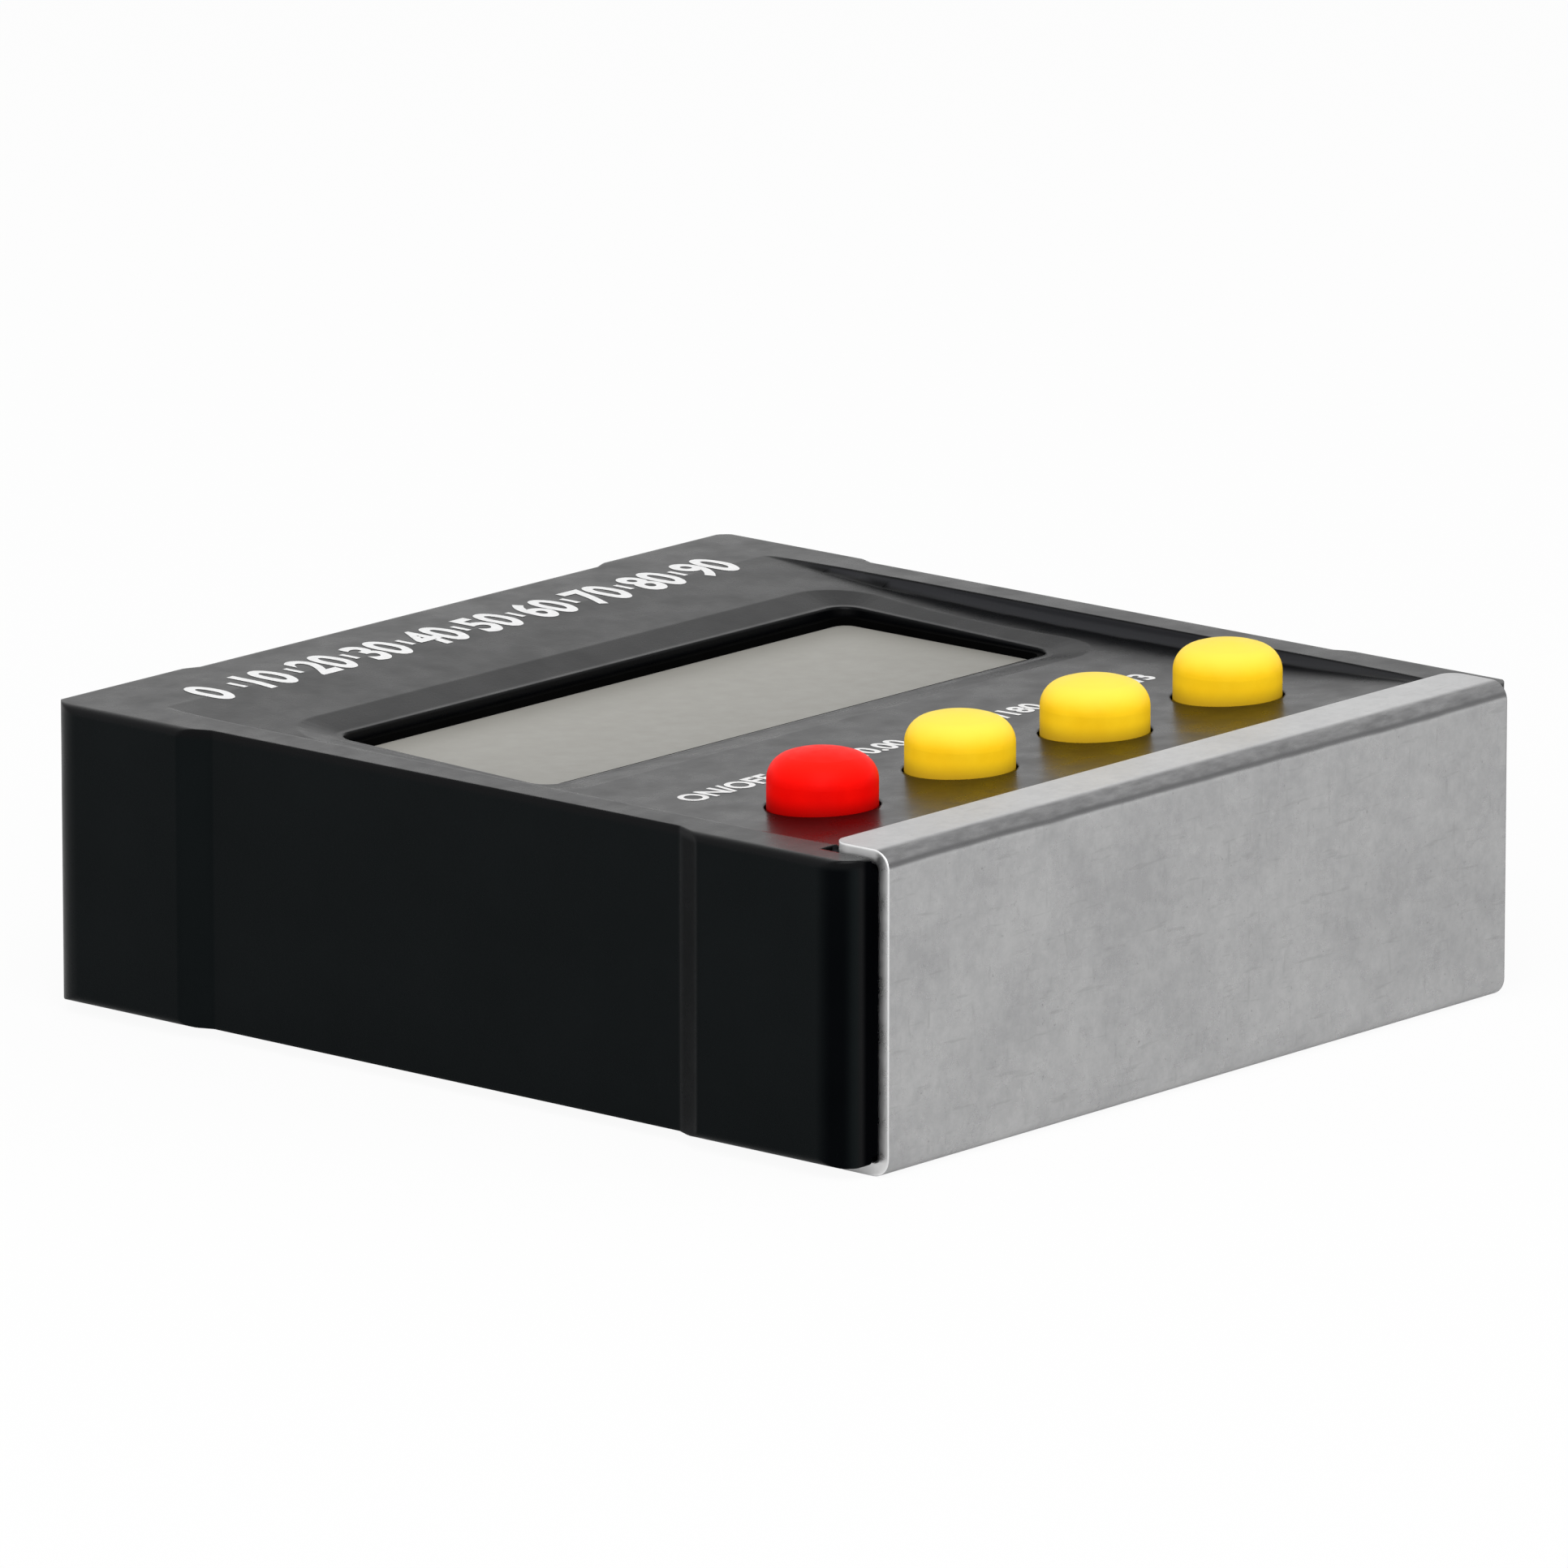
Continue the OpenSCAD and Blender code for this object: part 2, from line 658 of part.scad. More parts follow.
// contact plate with a foot that reaches under the board
module spring_contact() {
    color([0.72, 0.7, 0.62])
    union() {
        translate([-cav_x, cell_y - contact_w / 2, cell_z - contact_w / 2])
            cube([contact_t, contact_w, contact_w]);
        translate([-cav_x, board_y1 - foot_in, board_low - foot_h])
            cube([contact_t, cell_y - board_y1 + foot_in, foot_h]);
        translate([-cav_x, board_y1 - foot_in, board_low - foot_h])
            cube([cav_x - board_x + foot_reach, contact_t, foot_h]);
    }
}

module nub_contact() {
    color([0.72, 0.7, 0.62])
    union() {
        translate([nub_x, cell_y - contact_w / 2, cell_z - contact_w / 2])
            cube([contact_t, contact_w, contact_w]);
        translate([nub_x, board_y1 - foot_reach, board_low - foot_h])
            cube([contact_t, cell_y - board_y1 + foot_reach, foot_h]);
    }
}

// cross-shaped driver recess
module cross_slot(depth) {
    for (a = [0, 90]) rotate(a) cube([1.9, 0.4, 2 * depth], center = true);
}

module cover_screws() {
    color([0.6, 0.6, 0.62])
    for (p = cover_spots)
        translate([p[0], p[1], back_z + 0.05])
            difference() {
                union() {
                    cylinder(r1 = sink_r, r2 = pilot_r, h = sink_h, $fn = 32);
                    cylinder(r = pilot_r, h = cover_t + cover_screw_reach, $fn = 32);
                }
                cross_slot(0.5);
            }
}

module board_screws() {
    color([0.6, 0.6, 0.62])
    for (p = board_spots)
        translate([p[0], p[1], board_low - pan_h])
            difference() {
                union() {
                    cylinder(r = pan_r, h = pan_h, $fn = 32);
                    cylinder(r = pilot_r, h = pan_h + board_t + board_screw_reach, $fn = 32);
                }
                cross_slot(0.6);
            }
}

case_shell();
rear_cover();
battery_door();
base_plate();
magnet(-1);  // magnet_left
magnet(0);  // magnet_centre
magnet(1);  // magnet_right
lcd_gasket();
lcd_glass();
lcd_holder();
zebra_strip();
main_board();
controller_chip();
tilt_sensor();
crystal_can();
switch_body(button_x[0]);  // switch_power
switch_body(button_x[1]);  // switch_zero
switch_body(button_x[2]);  // switch_unit
switch_body(button_x[3]);  // switch_hold
plunger(button_x[0]);  // plunger_power
plunger(button_x[1]);  // plunger_zero
plunger(button_x[2]);  // plunger_unit
plunger(button_x[3]);  // plunger_hold
button_cap(button_x[0], [0.85, 0.04, 0.03]);  // power_button
button_cap(button_x[1], [0.95, 0.75, 0.1]);  // zero_button
button_cap(button_x[2], [0.95, 0.75, 0.1]);  // unit_button
button_cap(button_x[3], [0.95, 0.75, 0.1]);  // hold_button
battery_cell();
battery_spring();
spring_contact();
nub_contact();
cover_screws();
board_screws();
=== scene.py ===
import bpy
import bmesh
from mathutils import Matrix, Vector


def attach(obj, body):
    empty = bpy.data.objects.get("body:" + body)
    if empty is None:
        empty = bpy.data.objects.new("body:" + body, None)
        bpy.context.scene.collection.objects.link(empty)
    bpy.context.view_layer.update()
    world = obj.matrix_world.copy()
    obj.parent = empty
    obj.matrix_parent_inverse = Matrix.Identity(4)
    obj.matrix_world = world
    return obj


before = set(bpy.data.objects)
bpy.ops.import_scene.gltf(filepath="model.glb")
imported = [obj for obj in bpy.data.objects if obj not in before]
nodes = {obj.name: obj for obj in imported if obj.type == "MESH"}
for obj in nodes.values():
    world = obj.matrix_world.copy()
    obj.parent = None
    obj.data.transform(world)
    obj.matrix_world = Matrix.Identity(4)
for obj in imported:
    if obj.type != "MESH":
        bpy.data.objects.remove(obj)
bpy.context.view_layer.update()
mm = 0.001
print("frame loaded:", len(nodes), "nodes")

# camera solved from the photograph's edges
photoCamera = {"place": (-0.7026, -0.60593, 0.23404), "forward": (0.73637, 0.63549, -0.23217),
               "lens": 385.3, "sensor": 36, "clip": 0.01}


def makeCamera(look):
    data = bpy.data.cameras.new("photoCamera")
    data.sensor_width = look["sensor"]
    data.lens = look["lens"]
    data.clip_start = look["clip"]
    obj = bpy.data.objects.new("photoCamera", data)
    obj.location = look["place"]
    obj.rotation_euler = Vector(look["forward"]).to_track_quat("-Z", "Y").to_euler()
    bpy.context.collection.objects.link(obj)
    bpy.context.scene.camera = obj


makeCamera(photoCamera)
bpy.context.scene.view_settings.view_transform = "Standard"
print("camera placed")


# small helpers for node trees: feed links sockets and sets plain values
def feed(tree, node, sockets):
    for name, source in sockets.items():
        if isinstance(source, bpy.types.NodeSocket):
            tree.links.new(source, node.inputs[name])
        else:
            node.inputs[name].default_value = source


def add(tree, kind, sockets):
    node = tree.nodes.new(kind)
    feed(tree, node, sockets)
    return node


def newMaterial(name):
    mat = bpy.data.materials.new(name)
    mat.use_nodes = True
    tree = mat.node_tree
    tree.nodes.clear()
    shader = tree.nodes.new("ShaderNodeBsdfPrincipled")
    add(tree, "ShaderNodeOutputMaterial", {"Surface": shader.outputs["BSDF"]})
    return mat, tree, shader


def objectCoords(tree, scale=(1, 1, 1)):
    coord = tree.nodes.new("ShaderNodeTexCoord")
    node = add(tree, "ShaderNodeMapping", {"Vector": coord.outputs["Object"], "Scale": scale})
    return node.outputs["Vector"]


def axes(tree, vector):
    return tuple(add(tree, "ShaderNodeSeparateXYZ", {0: vector}).outputs)


noiseSpan = (0.3, 0.7)   # where nearly all of a noise lies


def noise(tree, vector, scale, detail=4.0, rough=0.55):
    node = add(tree, "ShaderNodeTexNoise", {"Vector": vector, "Scale": scale, "Detail": detail, "Roughness": rough})
    return node.outputs["Fac"]


def ramp(tree, fac, places, colours):
    node = add(tree, "ShaderNodeValToRGB", {"Fac": fac})
    for element, place, colour in zip(node.color_ramp.elements, places, colours):
        element.position = place
        element.color = (*colour, 1)
    return node.outputs["Color"]


def spread(tree, fac, low, high):
    node = add(tree, "ShaderNodeMapRange", {"Value": fac, "From Min": noiseSpan[0], "From Max": noiseSpan[1],
                                            "To Min": low, "To Max": high})
    return node.outputs["Result"]


# 0 at low and 1 at high, with low above high too
def between(tree, value, low, high):
    node = add(tree, "ShaderNodeMapRange", {"Value": value, "From Min": low, "From Max": high})
    node.interpolation_type = "SMOOTHSTEP"
    return node.outputs["Result"]


def bump(tree, height, strength, distance, edge=0.0):
    node = add(tree, "ShaderNodeBump", {"Height": height, "Strength": strength, "Distance": distance})
    if edge > 0:
        soft = add(tree, "ShaderNodeBevel", {"Radius": edge})
        soft.samples = 8
        feed(tree, node, {"Normal": soft.outputs["Normal"]})
    return node.outputs["Normal"]


def blend(tree, factor, first, second):
    node = tree.nodes.new("ShaderNodeMix")
    node.data_type = "RGBA"
    colours = [(*c, 1) if isinstance(c, tuple) else c for c in (first, second)]
    feed(tree, node, {0: factor, 6: colours[0], 7: colours[1]})   # the colour sockets share their names
    return node.outputs[2]


def sums(tree, operation, *values):
    node = tree.nodes.new("ShaderNodeMath")
    node.operation = operation
    feed(tree, node, dict(enumerate(values)))
    return node.outputs[0]


def product(tree, first, *others):
    for value in others:
        first = sums(tree, "MULTIPLY", first, value)
    return first


def dress(names, mat):
    for name in names:
        slots = nodes[name].data.materials
        slots.clear()
        slots.append(mat)


# satin black moulding, with painted light and shade by position: a lighter inner rim wall, duller and cooler sides; the
# bands shade the sides along Y: start, end, change of gleam
caseLook = {"dark": (0.0006, 0.0007, 0.001), "light": (0.0013, 0.0015, 0.0019), "cloud": 140, "mottle": (0.3, 0.75),
            "specular": 0.085, "rough": (0.24, 0.34), "roughScale": 420,
            "grain": 5200, "grainStrength": 0.35, "grainDepth": 0.000012, "edge": 0.00028,
            "seamPaintedShade": (-0.02955, -0.0294), "wall": (0.02, 0.0205, 0.023),
            "wallFrom": (0.0259, 0.02625), "wallTo": (0.02655, 0.0264), "wallTop": (0.01795, 0.0178),
            "wallFoot": (0.0164, 0.0168), "wallEnd": (0.03, 0.0295),
            "flank": (0.0281, 0.0284), "corner": (0.0262, 0.0266), "flankTop": (0.0177, 0.0173),
            "flankShadeLoss": 0.013, "flankReflectionTint": (0.78, 1.0, 1.0),
            "flankBands": [((-0.0190, -0.0180), (-0.0164, -0.0172), -0.043),
                           ((0.0180, 0.0188), (0.0206, 0.0198), 0.012)],
            "cornerBands": [((-0.0271, -0.0282), (-0.0293, -0.0287), -0.057),
                            ((-0.0289, -0.0293), (-0.0296, -0.0294), 0.04)]}


def caseGleam(tree, look, y, flank, corner):
    gleam = sums(tree, "SUBTRACT", look["specular"], product(tree, flank, look["flankShadeLoss"]))   # painted shade: the sides get less gleam
    # the bands add painted shade and painted highlight: darker and lighter gleam in strips at the side ramps and the
    # near corner
    for where, bands in ((flank, look["flankBands"]), (corner, look["cornerBands"])):
        for start, end, change in bands:
            band = product(tree, between(tree, y, *start), between(tree, y, *end), where, change)
            gleam = sums(tree, "ADD", gleam, band)
    return product(tree, between(tree, y, *look["seamPaintedShade"]), gleam)   # painted shade: no gleam in the seam behind the steel


def caseMoulding(look):
    mat, tree, shader = newMaterial("satinBlackMoulding")
    vec = objectCoords(tree)
    x, y, z = axes(tree, vec)
    across = sums(tree, "ABSOLUTE", x)
    body = ramp(tree, noise(tree, vec, look["cloud"]), look["mottle"], (look["dark"], look["light"]))
    # painted light: the inner rim wall gets a lighter colour than the body, standing in for the sheen it shows
    paintedLightRimMask = product(tree, between(tree, across, *look["wallFrom"]), between(tree, across, *look["wallTo"]),
                      between(tree, z, *look["wallTop"]), between(tree, z, *look["wallFoot"]),
                      between(tree, y, *look["wallEnd"]))
    low = between(tree, z, *look["flankTop"])
    flank = product(tree, between(tree, across, *look["flank"]), low)
    corner = product(tree, between(tree, across, *look["corner"]), low)
    grain = noise(tree, vec, look["grain"], 2.0)
    # painted shade and a cool painted reflection on the sides, through their gleam and its tint
    feed(tree, shader, {
        "Base Color": blend(tree, paintedLightRimMask, body, look["wall"]),
        "Roughness": spread(tree, noise(tree, vec, look["roughScale"]), *look["rough"]),
        "Normal": bump(tree, grain, look["grainStrength"], look["grainDepth"], look["edge"]),
        "Specular IOR Level": caseGleam(tree, look, y, flank, corner),
        "Specular Tint": blend(tree, flank, (1, 1, 1), look["flankReflectionTint"])})
    return mat


# bright rolled sheet with fine scuffs, with painted shade along its upper fold
steelLook = {"dull": (0.37, 0.37, 0.374), "bright": (0.462, 0.462, 0.462), "speck": (0.3, 0.3, 0.3),
             "bend": (0.135, 0.135, 0.137), "crease": (0.1, 0.1, 0.102), "lip": (0.44, 0.44, 0.44),
             "cut": (0.8, 0.8, 0.8), "rough": (0.24, 0.34), "lipRough": 0.2, "edge": 0.0002,
             "fine": 1300, "cloud": 190, "specks": 2400, "roughScale": 700,
             "scuffs": (400, 2600, 2600), "smears": (2400, 2400, 420), "foldShadeVary": (700, 2400, 2400),
             "lines": (300, 2200, 2200), "lineStrength": 0.15, "lineDepth": 0.000006,
             "mottle": (0.38, 0.62), "scuffCut": (0.6, 0.72), "smearCut": (0.6, 0.74), "speckCut": (0.65, 0.75),
             "foldShadeVarySpan": (0.72, 1.0), "markShare": 0.35, "lipShare": 0.3, "creaseShare": 0.8,
             "outer": (-0.0294, -0.0298), "bendRise": (0.01765, 0.01785),
             "creaseFrom": (0.01755, 0.01775), "creaseTo": (0.01805, 0.01785),
             "lipRise": (0.0175, 0.018), "cutFacing": (0.6, 0.9), "wander": 0.0003, "wanderScale": (90, 1, 1)}


# masks for the upper bend and the line under it, which get painted shade, the cut ends, and the flat lip, which gets
# painted light
def foldMasks(tree, look):
    x, y, z = axes(tree, objectCoords(tree))
    wander = product(tree, noise(tree, objectCoords(tree, look["wanderScale"]), 1.0, 3.0), look["wander"])
    rise = sums(tree, "ADD", z, wander)
    outer = between(tree, y, *look["outer"])
    bend = product(tree, between(tree, rise, *look["bendRise"]), outer)
    crease = product(tree, between(tree, rise, *look["creaseFrom"]), between(tree, rise, *look["creaseTo"]), outer)
    facing = axes(tree, tree.nodes.new("ShaderNodeNewGeometry").outputs["True Normal"])[0]
    cut = between(tree, sums(tree, "ABSOLUTE", facing), *look["cutFacing"])
    lip = product(tree, between(tree, z, *look["lipRise"]), sums(tree, "SUBTRACT", 1.0, outer))
    return bend, crease, cut, lip


def rolledSteel(look):
    mat, tree, shader = newMaterial("rolledSteelSheet")
    vec = objectCoords(tree)
    fine = noise(tree, vec, look["fine"], 6.0, 0.75)
    clouds = noise(tree, vec, look["cloud"], 4.0, 0.6)
    grey = sums(tree, "ADD", product(tree, fine, 0.5), product(tree, clouds, 0.5))
    tone = ramp(tree, grey, look["mottle"], (look["dull"], look["bright"]))
    scuffs = between(tree, noise(tree, objectCoords(tree, look["scuffs"]), 1.0, 3.0), *look["scuffCut"])
    smears = between(tree, noise(tree, objectCoords(tree, look["smears"]), 1.0, 3.0), *look["smearCut"])
    specks = between(tree, noise(tree, vec, look["specks"], 3.0, 0.7), *look["speckCut"])
    marks = product(tree, sums(tree, "MAXIMUM", scuffs, smears), look["markShare"])
    tone = blend(tree, sums(tree, "MAXIMUM", marks, specks), tone, look["speck"])
    bend, crease, cut, lip = foldMasks(tree, look)
    foldShadeVary = spread(tree, noise(tree, objectCoords(tree, look["foldShadeVary"]), 1.0, 4.0), *look["foldShadeVarySpan"])
    # painted light on the flat lip, and painted shade along the upper bend and in the crease below it, varied by noise
    tone = blend(tree, product(tree, lip, look["lipShare"]), tone, look["lip"])
    tone = blend(tree, product(tree, bend, foldShadeVary), tone, look["bend"])
    tone = blend(tree, product(tree, crease, look["creaseShare"]), tone, look["crease"])
    lines = noise(tree, objectCoords(tree, look["lines"]), 1.0, 5.0)
    rough = spread(tree, noise(tree, vec, look["roughScale"], 6.0, 0.65), *look["rough"])
    feed(tree, shader, {
        "Base Color": blend(tree, cut, tone, look["cut"]),
        "Roughness": sums(tree, "ADD", rough, product(tree, lip, look["lipRough"])),
        "Normal": bump(tree, lines, look["lineStrength"], look["lineDepth"], look["edge"]),
        "Metallic": 1.0})
    return mat


# moulded push caps, with painted light on the crown and painted shade at the foot
redLook = {"low": (0.8, 0.0018, 0.0008), "high": (0.86, 0.003, 0.0012),
           "crownPaintedLight": (0.9, 0.012, 0.006), "foot": (0.38, 0.0012, 0.0006)}
yellowLook = {"low": (0.9, 0.545, 0.01), "high": (0.95, 0.6, 0.015),
              "crownPaintedLight": (0.97, 0.73, 0.09), "foot": (0.52, 0.31, 0.014)}
capLook = {"rough": (0.4, 0.52), "crownRise": (0.0189, 0.0205), "footFall": (0.0184, 0.0172),
           "cloud": 700, "roughScale": 1500, "grain": 6000, "grainStrength": 0.2, "grainDepth": 0.00001,
           "specular": 0.04}


def capMoulding(name, tones, look):
    mat, tree, shader = newMaterial(name)
    vec = objectCoords(tree)
    z = axes(tree, vec)[2]
    tone = ramp(tree, noise(tree, vec, look["cloud"]), noiseSpan, (tones["low"], tones["high"]))
    # painted light on the crown and painted shade at the foot, by height
    tone = blend(tree, between(tree, z, *look["crownRise"]), tone, tones["crownPaintedLight"])
    feed(tree, shader, {
        "Base Color": blend(tree, between(tree, z, *look["footFall"]), tone, tones["foot"]),
        "Roughness": spread(tree, noise(tree, vec, look["roughScale"]), *look["rough"]),
        "Normal": bump(tree, noise(tree, vec, look["grain"], 2.0), look["grainStrength"], look["grainDepth"]),
        "Specular IOR Level": look["specular"]})
    return mat


# display glass with its grey polariser, and painted light rising from the near edge to the far edge
displayLook = {"near": (0.258, 0.252, 0.23), "far": (0.33, 0.322, 0.295), "span": (-0.002, 0.016),
               "cloud": (0.29, 0.283, 0.259), "cloudScale": 60, "cloudShare": 0.3,
               "rough": (0.3, 0.4), "roughScale": 900, "specular": 0.05}


def displayGlass(look):
    mat, tree, shader = newMaterial("greyDisplayGlass")
    vec = objectCoords(tree)
    y = axes(tree, vec)[1]
    # painted light: the glass is lighter towards the far side
    paintedLightSlope = ramp(tree, between(tree, y, *look["span"]), (0, 1), (look["near"], look["far"]))
    clouds = spread(tree, noise(tree, vec, look["cloudScale"], 3.0), 0.0, look["cloudShare"])
    feed(tree, shader, {
        "Base Color": blend(tree, clouds, paintedLightSlope, look["cloud"]),
        "Roughness": spread(tree, noise(tree, vec, look["roughScale"]), *look["rough"]),
        "Specular IOR Level": look["specular"]})
    return mat


# plain finishes with a little variation
def plainFinish(name, low, high, rough, metal=0.0, scale=500, specular=0.4, depth=0.00001):
    mat, tree, shader = newMaterial(name)
    vec = objectCoords(tree)
    feed(tree, shader, {
        "Base Color": ramp(tree, noise(tree, vec, scale), noiseSpan, (low, high)),
        "Roughness": spread(tree, noise(tree, vec, scale * 2), *rough),
        "Normal": bump(tree, noise(tree, vec, scale * 6, 2.0), 0.25, depth),
        "Metallic": metal, "Specular IOR Level": specular})
    return mat


# layers or rings, by a wave along the piece
def stripedFinish(name, low, high, rough, scale, metal=0.0):
    mat, tree, shader = newMaterial(name)
    wave = add(tree, "ShaderNodeTexWave", {"Vector": objectCoords(tree), "Scale": scale})
    feed(tree, shader, {
        "Base Color": ramp(tree, wave.outputs["Fac"], (0.35, 0.6), (low, high)),
        "Roughness": rough, "Metallic": metal})
    return mat


gasketLook = {"low": (0.0006, 0.0006, 0.0006), "high": (0.0014, 0.0014, 0.0014), "rough": (0.6, 0.75), "specular": 0.01}
platedLook = {"low": (0.5, 0.49, 0.46), "high": (0.62, 0.61, 0.58), "rough": (0.2, 0.34), "metal": 1.0}
magnetLook = {"low": (0.4, 0.4, 0.42), "high": (0.5, 0.5, 0.52), "rough": (0.18, 0.3), "metal": 1.0}
holderLook = {"low": (0.66, 0.66, 0.63), "high": (0.74, 0.74, 0.72), "rough": (0.4, 0.55)}
resinLook = {"low": (0.006, 0.006, 0.006), "high": (0.012, 0.012, 0.012), "rough": (0.3, 0.5)}
switchLook = {"low": (0.012, 0.012, 0.012), "high": (0.02, 0.02, 0.02), "rough": (0.4, 0.55)}
stripLook = {"low": (0.02, 0.02, 0.02), "high": (0.6, 0.4, 0.42), "rough": 0.6, "scale": 700}
boardLook = {"low": (0.008, 0.075, 0.03), "high": (0.014, 0.11, 0.045), "rough": 0.35, "scale": 240}
cellLook = {"low": (0.03, 0.032, 0.036), "high": (0.05, 0.052, 0.058), "rough": 0.3, "scale": 60, "metal": 0.4}

dress(["case_shell", "rear_cover", "battery_door"], caseMoulding(caseLook))
dress(["base_plate"], rolledSteel(steelLook))
dress(["power_button"], capMoulding("redCapMoulding", redLook, capLook))
dress(["zero_button", "unit_button", "hold_button"], capMoulding("yellowCapMoulding", yellowLook, capLook))
dress(["lcd_glass"], displayGlass(displayLook))
dress(["lcd_gasket"], plainFinish("blackGasket", **gasketLook))
dress(["cover_screws", "board_screws", "battery_spring", "spring_contact", "nub_contact", "crystal_can"],
      plainFinish("nickelPlate", **platedLook))
dress(["magnet_left", "magnet_centre", "magnet_right"], plainFinish("magnetPlate", **magnetLook))
dress(["lcd_holder"], plainFinish("whiteHolder", **holderLook))
dress(["zebra_strip"], stripedFinish("layeredStrip", **stripLook))
dress(["main_board"], stripedFinish("boardLaminate", **boardLook))
dress(["controller_chip", "tilt_sensor"], plainFinish("pottingResin", **resinLook))
dress([n for n in nodes if n.startswith(("switch_", "plunger_"))], plainFinish("switchMoulding", **switchLook))
dress(["battery_cell"], stripedFinish("cellJacket", **cellLook))
print("materials on every node")

# heights of the face in mm, from the same sizes as the solid; strips counts the cuts from Y = 0
faceForm = {"rimTop": 17.95, "scoopDepth": 1.0, "scoopRadius": 338.5, "scoopMiddle": -1.75,
            "proud": 0.02, "cut": 0.5, "strips": (-40, 61)}


def faceHeight(y):
    low = faceForm["rimTop"] - faceForm["scoopDepth"]
    rise = (y - faceForm["scoopMiddle"]) ** 2 / (2 * faceForm["scoopRadius"])
    return min(low + rise, faceForm["rimTop"]) + faceForm["proud"]


# cut into narrow strips so that the print follows the curve
def inkMesh(name, bm, mat):
    for i in range(*faceForm["strips"]):
        every = bm.verts[:] + bm.edges[:] + bm.faces[:]
        bmesh.ops.bisect_plane(bm, geom=every, plane_co=(0, i * faceForm["cut"], 0), plane_no=(0, 1, 0))
    mesh = bpy.data.meshes.new(name)
    bm.to_mesh(mesh)
    bm.free()
    for v in mesh.vertices:
        v.co.z = faceHeight(v.co.y)
        v.co *= mm
    mesh.materials.append(mat)
    obj = bpy.data.objects.new(name, mesh)
    bpy.context.collection.objects.link(obj)
    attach(obj, "gauge")
    return obj


# the finished mesh of a maker object, which is removed
def takeMesh(obj):
    bpy.context.view_layer.update()
    mesh = bpy.data.meshes.new_from_object(obj.evaluated_get(bpy.context.evaluated_depsgraph_get()))
    bpy.data.objects.remove(obj)
    return mesh


capShare = 0.7   # height of a capital in the built-in font


def addWords(bm, words, centre, look):
    data = bpy.data.curves.new("words", "FONT")
    data.body = words
    data.align_x = "CENTER"
    data.size = 1.0
    data.offset = look["weight"]
    data.resolution_u = 6
    obj = bpy.data.objects.new("words", data)
    bpy.context.collection.objects.link(obj)
    mesh = takeMesh(obj)
    xs = [v.co.x for v in mesh.vertices]
    middle = (min(xs) + max(xs)) / 2
    size = look["capHeight"] / capShare
    start = len(bm.verts)
    bm.from_mesh(mesh)
    bm.verts.ensure_lookup_table()
    for v in bm.verts[start:]:
        v.co.x = centre + (v.co.x - middle) * size * look["squeeze"]
        v.co.y = look["baseline"] + v.co.y * size
        v.co.z = 0
    bpy.data.meshes.remove(mesh)


inkLook = {"low": (0.72, 0.72, 0.72), "high": (0.82, 0.82, 0.82), "rough": (0.4, 0.5), "scale": 3000}
inkMat = plainFinish("whitePrint", **inkLook)

# printed row of plain numbers along the title edge, with ticks between them, in mm
scalePrint = {"numbers": ["0", "10", "20", "30", "40", "50", "60", "70", "80", "90"],
              "from": -21.6, "to": 21.2, "baseline": 23.25, "capHeight": 3.3, "weight": 0.03, "squeeze": 0.74,
              "tickWidth": 0.36, "tickHeight": 1.4, "tickLift": 0.95}


def printNumbers(look):
    bm = bmesh.new()
    count = len(look["numbers"])
    for i, number in enumerate(look["numbers"]):
        addWords(bm, number, look["from"] + (look["to"] - look["from"]) * i / (count - 1), look)
    inkMesh("scaleNumbers", bm, inkMat)


# one tick in each gap between numbers
def tickTree():
    tree = bpy.data.node_groups.new("scaleTicks", "GeometryNodeTree")
    face = tree.interface
    face.new_socket("Geometry", in_out="OUTPUT", socket_type="NodeSocketGeometry")
    for name, kind in (("Gaps", "Int"), ("Gap Width", "Float"), ("Start", "Float"), ("Base", "Float"),
                       ("Tick Width", "Float"), ("Tick Height", "Float"), ("Ink", "Material")):
        face.new_socket(name, in_out="INPUT", socket_type="NodeSocket" + kind)
    given = tree.nodes.new("NodeGroupInput").outputs
    tick = add(tree, "GeometryNodeMeshGrid", {"Size X": given["Tick Width"], "Size Y": given["Tick Height"],
                                              "Vertices X": 2, "Vertices Y": 2})
    first = add(tree, "ShaderNodeCombineXYZ", {
        "X": sums(tree, "MULTIPLY_ADD", given["Gap Width"], 0.5, given["Start"]),
        "Y": sums(tree, "MULTIPLY_ADD", given["Tick Height"], 0.5, given["Base"])})
    step = add(tree, "ShaderNodeCombineXYZ", {"X": given["Gap Width"]})
    line = add(tree, "GeometryNodeMeshLine", {"Count": given["Gaps"], "Start Location": first.outputs[0],
                                              "Offset": step.outputs[0]})
    put = add(tree, "GeometryNodeInstanceOnPoints", {"Points": line.outputs["Mesh"], "Instance": tick.outputs["Mesh"]})
    real = add(tree, "GeometryNodeRealizeInstances", {"Geometry": put.outputs["Instances"]})
    paint = add(tree, "GeometryNodeSetMaterial", {"Geometry": real.outputs["Geometry"], "Material": given["Ink"]})
    add(tree, "NodeGroupOutput", {"Geometry": paint.outputs["Geometry"]})
    return tree


def fillInputs(mod, values):
    for item in mod.node_group.interface.items_tree:
        if item.in_out == "INPUT" and item.name in values:
            mod[item.identifier] = values[item.name]


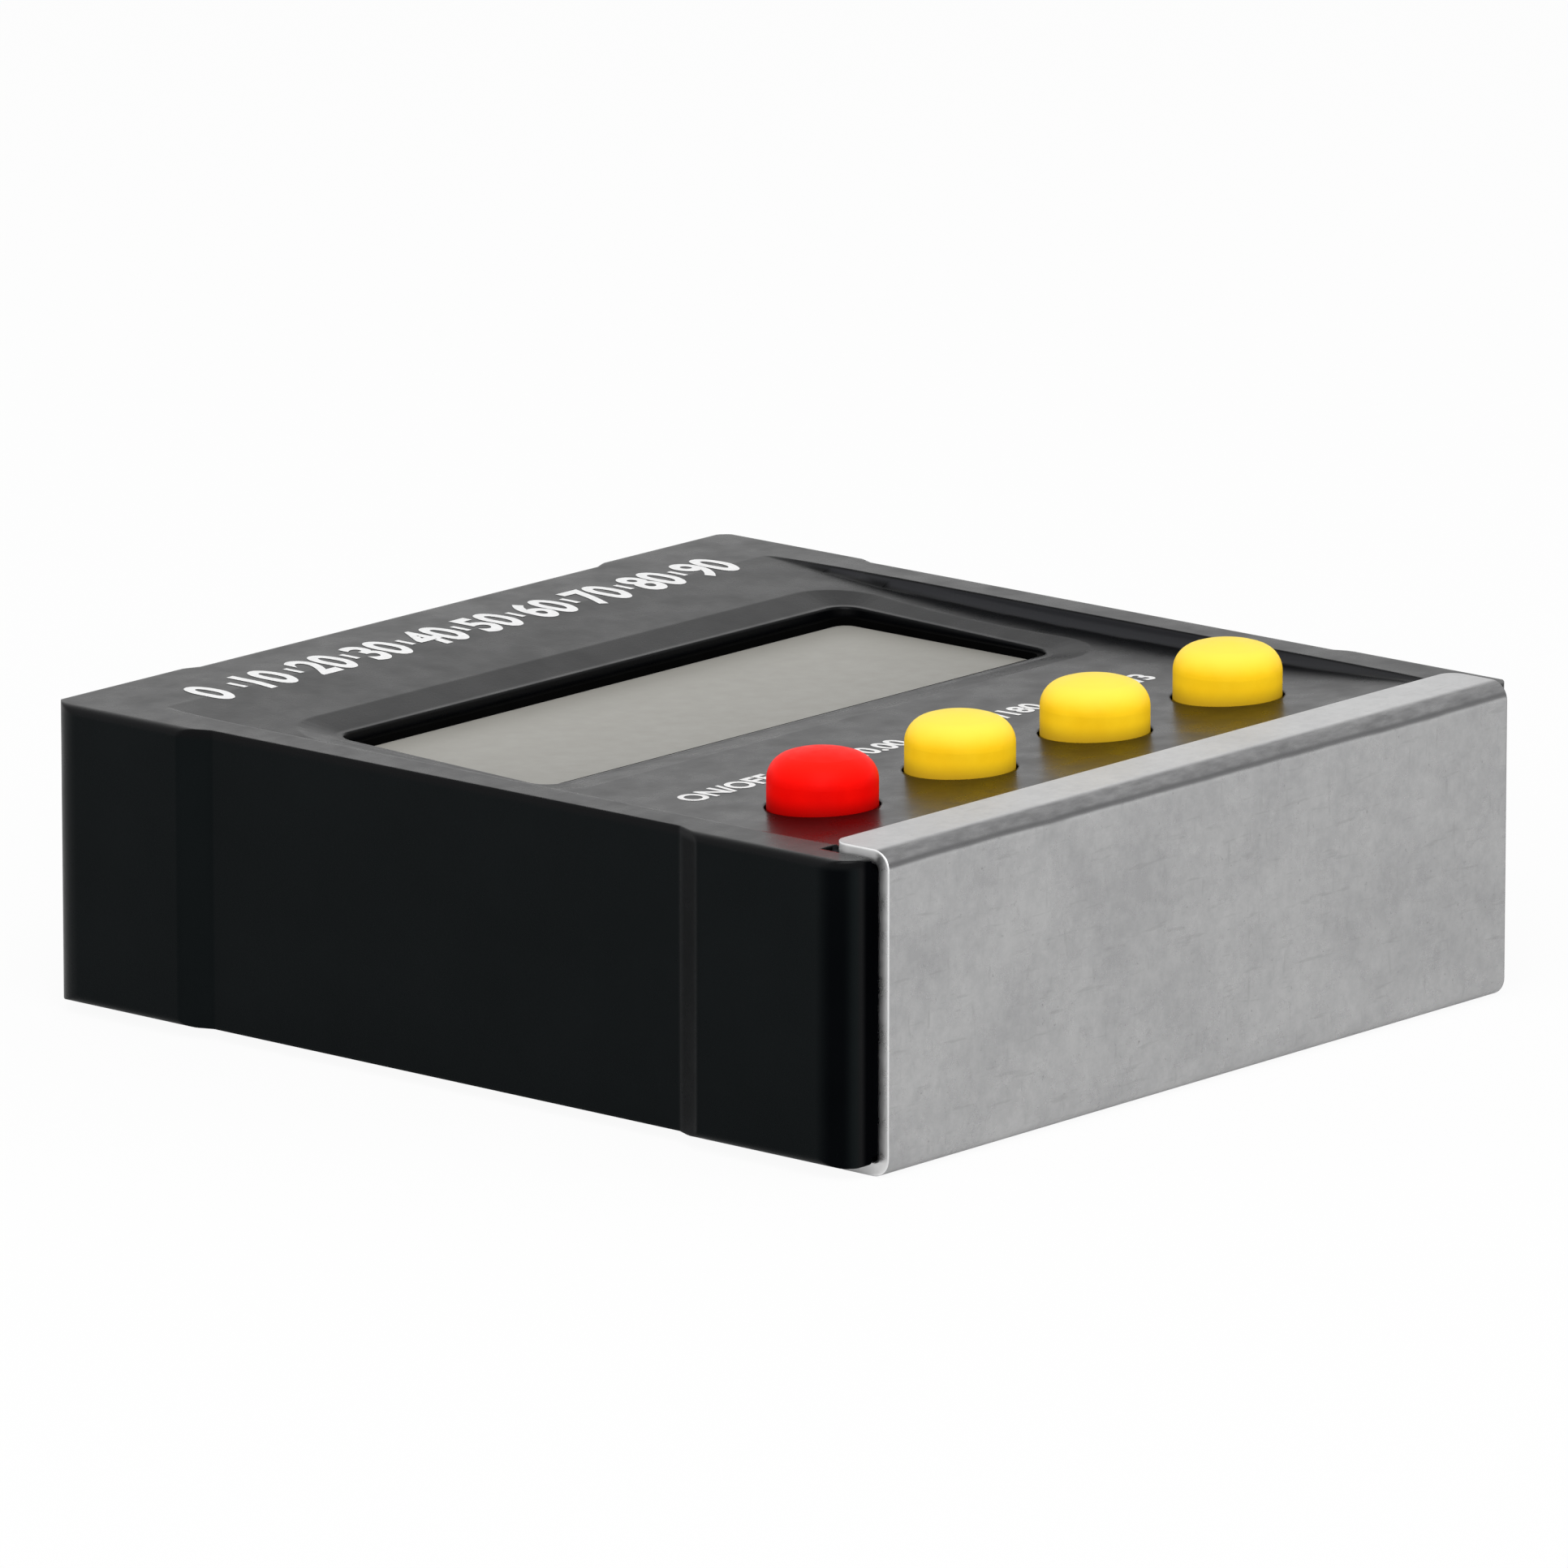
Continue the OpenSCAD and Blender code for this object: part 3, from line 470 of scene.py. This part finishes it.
def printTicks(look):
    obj = bpy.data.objects.new("tickMaker", bpy.data.meshes.new("tickMaker"))
    bpy.context.collection.objects.link(obj)
    mod = obj.modifiers.new("ticks", "NODES")
    mod.node_group = tickTree()
    gaps = len(look["numbers"]) - 1
    fillInputs(mod, {"Gaps": gaps, "Gap Width": (look["to"] - look["from"]) / gaps, "Start": look["from"],
                     "Base": look["baseline"] + look["tickLift"], "Tick Width": look["tickWidth"],
                     "Tick Height": look["tickHeight"], "Ink": inkMat})
    mesh = takeMesh(obj)
    bm = bmesh.new()
    bm.from_mesh(mesh)
    bpy.data.meshes.remove(mesh)
    inkMesh("scaleTicks", bm, inkMat)


printNumbers(scalePrint)
printTicks(scalePrint)

# legends on the title side of the caps, in mm
legendPrint = {"words": ["ON/OFF", "0.0/0.00", "0/90/180", "1/2/3"], "places": [-17.2, -5.6, 5.9, 17.4],
               "baseline": -11.16, "capHeight": 1.7, "weight": 0.03, "squeeze": 0.86}


def printLegends(look):
    bm = bmesh.new()
    for words, x in zip(look["words"], look["places"]):
        addWords(bm, words, x, look)
    inkMesh("capLegends", bm, inkMat)


printLegends(legendPrint)
print("print on the face")

# pale floor and white backdrop
stageLook = {"floor": (0.8, 0.8, 0.8), "floorSize": 6, "floorDrop": 0.00005, "floorRough": 0.9,
             "sky": 0.55, "toCamera": 0.93, "toGloss": 0.2, "skyGloss": 1.5}


# how far the plain white of the backdrop covers the lit surface
def backdropFactor(tree, gloss):
    path = tree.nodes.new("ShaderNodeLightPath").outputs
    soft = product(tree, path["Is Glossy Ray"], gloss)
    seen = sums(tree, "MAXIMUM", path["Is Camera Ray"], soft)
    return sums(tree, "MAXIMUM", seen, path["Is Transmission Ray"])


def makeFloor(look):
    bm = bmesh.new()
    bmesh.ops.create_grid(bm, x_segments=1, y_segments=1, size=look["floorSize"])
    mesh = bpy.data.meshes.new("floor")
    bm.to_mesh(mesh)
    bm.free()
    obj = bpy.data.objects.new("floor", mesh)
    obj.location = (0, 0, -look["floorDrop"])
    bpy.context.collection.objects.link(obj)
    mat, tree, shader = newMaterial("paleFloor")
    feed(tree, shader, {"Base Color": (*look["floor"], 1), "Roughness": look["floorRough"], "Specular IOR Level": 0.0})
    glow = add(tree, "ShaderNodeEmission", {"Strength": 1.0})
    white = product(tree, backdropFactor(tree, look["toGloss"]), look["toCamera"])
    mix = add(tree, "ShaderNodeMixShader", {"Fac": white, 1: shader.outputs["BSDF"], 2: glow.outputs["Emission"]})
    out = next(n for n in tree.nodes if n.type == "OUTPUT_MATERIAL")
    feed(tree, out, {"Surface": mix.outputs["Shader"]})
    mesh.materials.append(mat)


def makeSky(look):
    world = bpy.data.worlds.new("studio")
    world.use_nodes = True
    tree = world.node_tree
    level = add(tree, "ShaderNodeMapRange", {"Value": backdropFactor(tree, look["skyGloss"]),
                                             "To Min": look["sky"], "To Max": 1.0})
    level.clamp = False
    back = next(n for n in tree.nodes if n.type == "BACKGROUND")
    feed(tree, back, {"Color": (1, 1, 1, 1), "Strength": level.outputs["Result"]})
    bpy.context.scene.world = world


# softboxes beside the camera, and fills that leave no gleam
lampLook = {"aim": (0, 0, 0.009),
            "keySoftbox": {"place": (-0.3, -0.35, 0.8), "power": 2.8, "size": 0.6, "gleam": True},
            "frontSoftbox": {"place": (-0.62, -0.52, 0.42), "power": 3.8, "size": 0.6, "gleam": True},
            "leftFill": {"place": (-0.69, 0.56, 0.165), "power": 2.5, "size": 0.3, "gleam": False},
            "rightFill": {"place": (0.454, -0.761, 0.165), "power": 2.5, "size": 0.3, "gleam": False}}


def addLamp(name, look, aim):
    data = bpy.data.lights.new(name, "AREA")
    data.energy = look["power"]
    data.size = look["size"]
    obj = bpy.data.objects.new(name, data)
    obj.location = look["place"]
    obj.rotation_euler = (Vector(aim) - Vector(look["place"])).to_track_quat("-Z", "Y").to_euler()
    obj.visible_camera = False
    obj.visible_glossy = look["gleam"]
    bpy.context.collection.objects.link(obj)


makeFloor(stageLook)
makeSky(stageLook)
for name in ("keySoftbox", "frontSoftbox", "leftFill", "rightFill"):
    addLamp(name, lampLook[name], lampLook["aim"])
print("stage lit")
